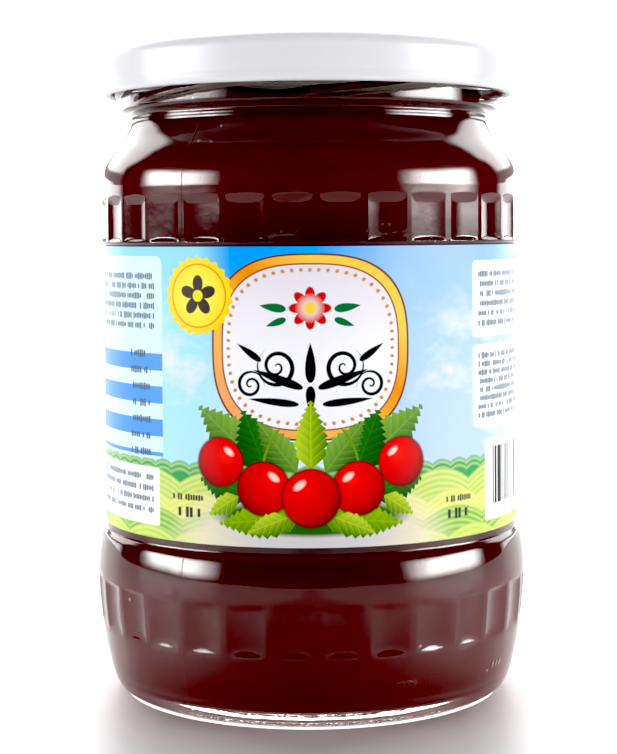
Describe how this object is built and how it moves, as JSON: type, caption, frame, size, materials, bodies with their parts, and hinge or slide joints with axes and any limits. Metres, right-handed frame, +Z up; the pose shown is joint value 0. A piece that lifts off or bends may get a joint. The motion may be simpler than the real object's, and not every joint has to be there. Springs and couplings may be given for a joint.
{
  "type": "jam jar",
  "caption": "Shut glass jar of dark red fruit jam, with fluted bands, a white twist-off lid and a printed wrap-round paper label.",
  "frame": {"origin": "centre of the ring that the jar stands on, at the level of the surface under it", "axes": "+Z up along the jar's axis, -Y out through the front of the label, +X to the label's right"},
  "size_m": [0.088, 0.088, 0.1309],
  "materials": {
    "clear_glass": "clear polished soda-lime glass",
    "jam": "wet, glossy, dark red set jam",
    "white_enamel": "glossy white enamel on tinplate",
    "label_paper": "coated paper with a glossy colour print"
  },
  "bodies": {
    "root": {"glass_jar": "clear_glass", "jam": "jam", "lid": "white_enamel", "label": "label_paper"}
  },
  "joints": []
}
